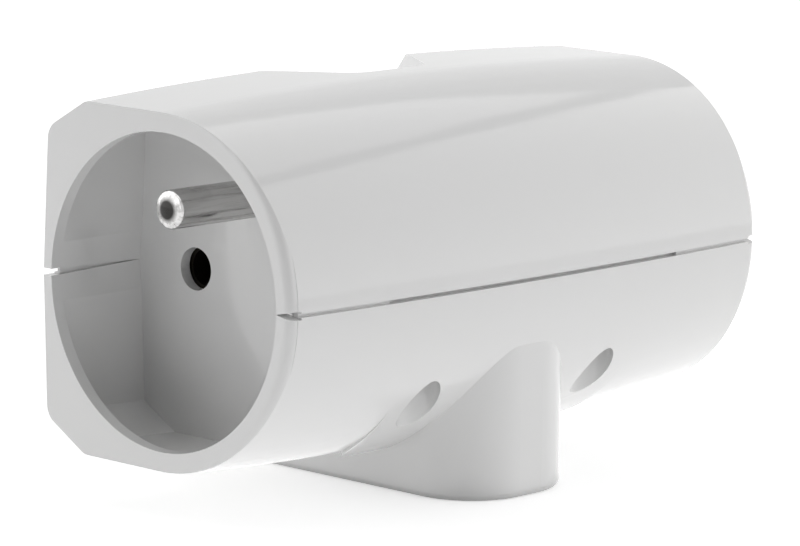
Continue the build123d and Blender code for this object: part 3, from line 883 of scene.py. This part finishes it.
@dataclass
class Studio:
    """Pale floor, white surroundings and a tent of softboxes that is open towards the camera.

    Attributes:
        floor_half: half the side of the floor in metres.
        floor_tone: grey of the floor.
        floor_roughness: roughness of the floor.
        floor_lift: brightness that the floor gains near the object where it is seen.
        lift_from: distance from the object where the gain starts to rise, in metres.
        lift_to: distance from which the floor is white, in metres.
        lamps: the softboxes.
    """

    floor_half: float = 3.0
    floor_tone: float = 0.90
    floor_roughness: float = 0.9
    floor_lift: float = 0.45
    lift_from: float = 0.6
    lift_to: float = 1.0
    lamps: tuple[Softbox, ...] = (
        Softbox("right_wall", Facing.INWARD, 318.0, 0.6, -0.02, 0.3775, 1.96, 0.755, 1.01),
        Softbox("left_wall", Facing.INWARD, 138.0, 0.6, -0.255, 0.3775, 1.41, 0.755, 1.05),
        Softbox("roof", Facing.DOWN, 48.0, 0.18, 0.0, 0.85, 1.56, 1.2, 0.80),
        Softbox("roof_boost", Facing.DOWN, 48.0, 0.53, 0.3, 0.84, 0.86, 0.6, 0.70),
        Softbox("ground_left", Facing.UP, 0.0, -0.15575, 0.0, 0.0004, 0.2885, 0.6, 0.30),
        Softbox("ground_right", Facing.UP, 0.0, 0.15575, 0.0, 0.0004, 0.2885, 0.6, 0.31),
        Softbox("ground_front", Facing.UP, 270.0, 0.16125, 0.0, 0.0004, 0.2775, 0.023, 0.36),
    )

    def build(self) -> None:
        """Makes the floor, the world and the lamps."""
        self._floor()
        self._world()
        for lamp in self.lamps:
            lamp.build()
            log.info("lit %s", lamp.name)

    def _seen(self, tree: bpy.types.NodeTree) -> bpy.types.NodeSocket:
        """Mask of the rays from the camera, from a reflection and through glass.

        Args:
            tree: node tree that the mask goes into.

        Returns:
            Socket that is 1 for those rays and 0 for others.
        """
        path = tree.nodes.new("ShaderNodeLightPath")
        direct = math_node(tree, "MAXIMUM", path.outputs["Is Camera Ray"], path.outputs["Is Glossy Ray"])
        return math_node(tree, "MAXIMUM", direct, path.outputs["Is Transmission Ray"])

    def _floor(self) -> None:
        """Flat pale floor, lifted towards white where it is seen; the shadow stays on it."""
        steps = np.linspace(-self.floor_half, self.floor_half, 2)
        across, along = np.meshgrid(steps, steps)
        points = np.stack([across.ravel(), along.ravel(), np.zeros(across.size)], axis=1)
        mesh = bpy.data.meshes.new("floor")
        mesh.from_pydata(points.tolist(), [], [(0, 1, 3, 2)])
        floor = bpy.data.objects.new("floor", mesh)
        bpy.context.scene.collection.objects.link(floor)
        material, tree, shader = new_material("pale_floor")
        grey = colour(self.floor_tone, self.floor_tone, self.floor_tone)
        shader.inputs["Base Color"].default_value = grey
        shader.inputs["Roughness"].default_value = self.floor_roughness
        shader.inputs["Specular IOR Level"].default_value = 0.0
        shader.inputs["Emission Color"].default_value = colour(1.0, 1.0, 1.0)
        reach = tree.nodes.new("ShaderNodeVectorMath")
        reach.operation = "LENGTH"
        linked(tree, tree.nodes.new("ShaderNodeTexCoord").outputs["Object"], reach.inputs[0])
        glow = spread(tree, reach.outputs["Value"], self.lift_from, self.lift_to, self.floor_lift, 1.0)
        lift = math_node(tree, "MULTIPLY", self._seen(tree), glow)
        linked(tree, lift, shader.inputs["Emission Strength"])
        mesh.materials.append(material)

    def _world(self) -> None:
        """White where it is seen, and no light of its own."""
        world = bpy.data.worlds.new("studio")
        bpy.context.scene.world = world
        world.use_nodes = True
        tree = world.node_tree
        sky = tree.nodes["Background"]
        sky.inputs["Color"].default_value = colour(1.0, 1.0, 1.0)
        linked(tree, self._seen(tree), sky.inputs["Strength"])


@dataclass
class PhotoCamera:
    """Camera at the photograph's viewing angle.

    Attributes:
        place: where it stands, in millimetres.
        target: point that it looks at, in millimetres.
        roll: how far it leans, in degrees.
        lens: focal length in millimetres.
        sensor: width of the sensor in millimetres.
        nearest: nearest distance that it sees, in metres.
    """

    place: tuple[float, float, float] = (-427.09, -401.19, 126.46)
    target: tuple[float, float, float] = (0.0, 1.16, 25.17)
    roll: float = 0.9
    lens: float = 211.13
    sensor: float = 36.0
    nearest: float = 0.01

    def build(self) -> bpy.types.Object:
        """Makes the camera and sets it as the scene's own.

        Returns:
            The camera's object.
        """
        place = Vector(self.place) * MM
        back = (place - Vector(self.target) * MM).normalized()
        level = Vector((0.0, 0.0, 1.0)).cross(back).normalized()
        upright = back.cross(level)
        tilt = math.radians(self.roll)
        right = level * math.cos(tilt) + upright * math.sin(tilt)
        up = upright * math.cos(tilt) - level * math.sin(tilt)
        data = bpy.data.cameras.new("photo_camera")
        data.lens = self.lens
        data.sensor_width = self.sensor
        data.clip_start = self.nearest
        camera = bpy.data.objects.new("photo_camera", data)
        bpy.context.scene.collection.objects.link(camera)
        turn = Matrix((right, up, back)).transposed().to_4x4()
        camera.matrix_world = Matrix.Translation(place) @ turn
        bpy.context.scene.camera = camera
        return camera


def main() -> None:
    """Builds the scene in order and reports each piece."""
    logging.basicConfig(level=logging.INFO, format="%(message)s")
    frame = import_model()
    bpy.context.scene.view_settings.view_transform = "Standard"
    effects = Effects()
    brass = BRASS.build(effects)
    Case().build(frame, effects)
    PlugHead().build(frame, effects, brass)
    SocketPins().build(effects)
    BrassWork().build(frame, effects, brass)
    Fasteners().build(frame, effects)
    Studio().build()
    PhotoCamera().build()


if __name__ == "__main__":
    main()
